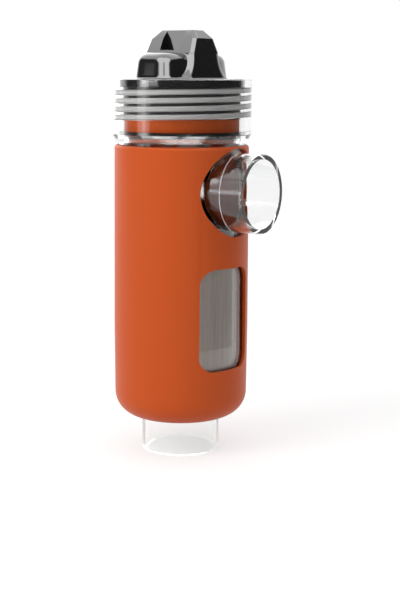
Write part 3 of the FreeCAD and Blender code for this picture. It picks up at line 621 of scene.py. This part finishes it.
floor_glow = add_node(pale_floor.node_tree, "ShaderNodeMath", operation="MULTIPLY")
floor_glow.inputs[1].default_value = FLOOR_GLOW
link_all(
    pale_floor.node_tree,
    (seen_share(pale_floor.node_tree), floor_glow.inputs[0]),
    (floor_glow.outputs[0], shader_of(pale_floor).inputs["Emission Strength"]),
)

# Studio: a white surround that lights the part evenly at about half strength, and one large
# soft lamp at the front left. What the part mirrors is a dark room with soft boxes in front of
# the white backdrop.

SURROUND_LIGHT = 0.55

# Each spot's azimuth, elevation, inner and outer angle in degrees, and its brightness.
MIRRORED_SPOTS = {
    "dark_room": (40.0, -5.0, 113.0, 124.0, 0.03),
    "ceiling_box": (0.0, 90.0, 48.0, 60.0, 2.2),
    "front_box": (6.0, 38.0, 25.0, 33.0, 5.0),
    "right_box": (58.0, 38.0, 25.0, 33.0, 5.0),
    "rear_left_box": (-119.0, 30.0, 28.0, 38.0, 3.0),
    "left_glint": (-35.0, 1.0, 6.0, 11.0, 2.6),
}
world = bpy.data.worlds.new("surround")
world.use_nodes = True
bpy.context.scene.world = world
background = world.node_tree.nodes["Background"]
background.inputs["Color"].default_value = (1.0, 1.0, 1.0, 1.0)
world_place = add_node(world.node_tree, "ShaderNodeTexCoord")


def paint_spot(below, azimuth, elevation, inner, outer, brightness):
    """Lays a round soft-edged spot of one brightness over what is below it. The spot is full up to
    the inner angle from its middle and gone past the outer one."""
    turn = math.radians(azimuth)
    rise = math.radians(elevation)
    aim = add_node(world.node_tree, "ShaderNodeVectorMath", operation="DOT_PRODUCT")
    aim.inputs[1].default_value = (
        math.sin(turn) * math.cos(rise), -math.cos(turn) * math.cos(rise), math.sin(rise))
    fade = add_node(world.node_tree, "ShaderNodeMapRange", interpolation_type="SMOOTHSTEP")
    fade.inputs["From Min"].default_value = math.cos(math.radians(outer))
    fade.inputs["From Max"].default_value = math.cos(math.radians(inner))
    cover = add_node(world.node_tree, "ShaderNodeMix", data_type="FLOAT")
    cover.inputs["A"].default_value = 1.0
    cover.inputs["B"].default_value = brightness
    link_all(
        world.node_tree,
        (world_place.outputs["Generated"], aim.inputs[0]),
        (aim.outputs["Value"], fade.inputs["Value"]),
        (fade.outputs["Result"], cover.inputs["Factor"]),
    )
    if below:
        link_all(world.node_tree, (below, cover.inputs["A"]))
    return cover.outputs["Result"]


mirrored = None
for spot in MIRRORED_SPOTS.values():
    mirrored = paint_spot(mirrored, *spot)

# A path that was mirrored once sees the dark room, also where it leaves through the acrylic.
room_path = add_node(world.node_tree, "ShaderNodeLightPath")
was_mirrored = add_node(world.node_tree, "ShaderNodeMath", operation="GREATER_THAN")
was_mirrored.inputs[1].default_value = 0.5
seen_light = add_node(world.node_tree, "ShaderNodeMix", data_type="FLOAT")
seen_light.inputs["A"].default_value = 1.0
surround_strength = add_node(world.node_tree, "ShaderNodeMix", data_type="FLOAT")
surround_strength.inputs["A"].default_value = SURROUND_LIGHT
link_all(
    world.node_tree,
    (room_path.outputs["Glossy Depth"], was_mirrored.inputs[0]),
    (was_mirrored.outputs[0], seen_light.inputs["Factor"]),
    (mirrored, seen_light.inputs["B"]),
    (seen_share(world.node_tree), surround_strength.inputs["Factor"]),
    (seen_light.outputs["Result"], surround_strength.inputs["B"]),
    (surround_strength.outputs["Result"], background.inputs["Strength"]),
)

# The lamp is aimed at the middle of the part. Its radiance is the brightness of its face.
LAMP_AZIMUTH = math.radians(-24.0)
LAMP_DISTANCE = 1.5
LAMP_HEIGHT = 0.75
LAMP_WIDTH = 0.9
LAMP_TALL = 1.0
LAMP_RADIANCE = 3.6
lamp_data = bpy.data.lights.new("front_left_lamp", "AREA")
lamp_data.shape = "RECTANGLE"
lamp_data.size = LAMP_WIDTH
lamp_data.size_y = LAMP_TALL
lamp_data.energy = math.pi * LAMP_WIDTH * LAMP_TALL * LAMP_RADIANCE
lamp = bpy.data.objects.new("front_left_lamp", lamp_data)
lamp.location = (
    LAMP_DISTANCE * math.sin(LAMP_AZIMUTH), -LAMP_DISTANCE * math.cos(LAMP_AZIMUTH), LAMP_HEIGHT)
middle_height = (cad_box[0].z + cad_box[1].z) / 2
lamp_aim = Vector((0.0, 0.0, middle_height)) - lamp.location
lamp.rotation_euler = lamp_aim.to_track_quat("-Z", "Y").to_euler()
lamp.visible_glossy = False
bpy.context.scene.collection.objects.link(lamp)

# A black flag, curved round the part low on the right, is seen only by the glosses.
FLAG_AZIMUTHS = (60.0, 135.0)
FLAG_HEIGHTS = (0.001, 0.22)
FLAG_DISTANCE = 0.45
FLAG_COLUMNS = 17
azimuth, height = np.meshgrid(np.radians(np.linspace(*FLAG_AZIMUTHS, FLAG_COLUMNS)), FLAG_HEIGHTS)
flag_points = np.stack(
    [FLAG_DISTANCE * np.sin(azimuth), -FLAG_DISTANCE * np.cos(azimuth), height], axis=-1)
column = np.arange(FLAG_COLUMNS - 1)
flag_faces = np.stack([column, column + 1, column + FLAG_COLUMNS + 1, column + FLAG_COLUMNS], axis=-1)
flag_mesh = bpy.data.meshes.new("low_flag")
flag_mesh.from_pydata(flag_points.reshape(-1, 3).tolist(), [], flag_faces.tolist())
flag_mesh.materials.append(new_material(
    "low_flag", Base_Color=(0.01, 0.01, 0.01, 1.0), Roughness=1.0, Specular_IOR_Level=0.0))
flag = bpy.data.objects.new("low_flag", flag_mesh)
bpy.context.scene.collection.objects.link(flag)
flag.visible_camera = False
flag.visible_diffuse = False
flag.visible_transmission = False
flag.visible_shadow = False

# Camera: at the height of the head, a metre away on the side of the outlet, with a lens
# shift that keeps the upright lines nearly parallel.

CAMERA_AZIMUTH = math.radians(34.0)
CAMERA_DISTANCE = 1.04
CAMERA_HEIGHT = 0.305
FOCAL_PIXELS = 1283.0
PICTURE_HEIGHT = 601.0
HORIZON_ROW = 75.0
SHIFT = -0.18
AXIS_OFFSET = 18.5
LEAN = math.radians(0.33)
camera_data = bpy.data.cameras.new("camera")
camera_data.sensor_width = 36.0
camera_data.lens = camera_data.sensor_width * FOCAL_PIXELS / PICTURE_HEIGHT
camera_data.shift_y = SHIFT
camera_data.clip_end = 20.0
horizon_above_axis = PICTURE_HEIGHT / 2 - HORIZON_ROW + SHIFT * PICTURE_HEIGHT
pitch = math.atan(horizon_above_axis / FOCAL_PIXELS)
yaw = CAMERA_AZIMUTH - math.atan(AXIS_OFFSET / FOCAL_PIXELS)
camera_place = Matrix.Translation((
    CAMERA_DISTANCE * math.sin(CAMERA_AZIMUTH), -CAMERA_DISTANCE * math.cos(CAMERA_AZIMUTH), CAMERA_HEIGHT))
camera = bpy.data.objects.new("camera", camera_data)
camera.matrix_world = (
    camera_place @ Matrix.Rotation(yaw, 4, "Z") @ Matrix.Rotation(math.pi / 2 - pitch, 4, "X")
    @ Matrix.Rotation(LEAN, 4, "Z"))
bpy.context.scene.collection.objects.link(camera)
bpy.context.scene.camera = camera
bpy.context.scene.view_settings.view_transform = "Standard"
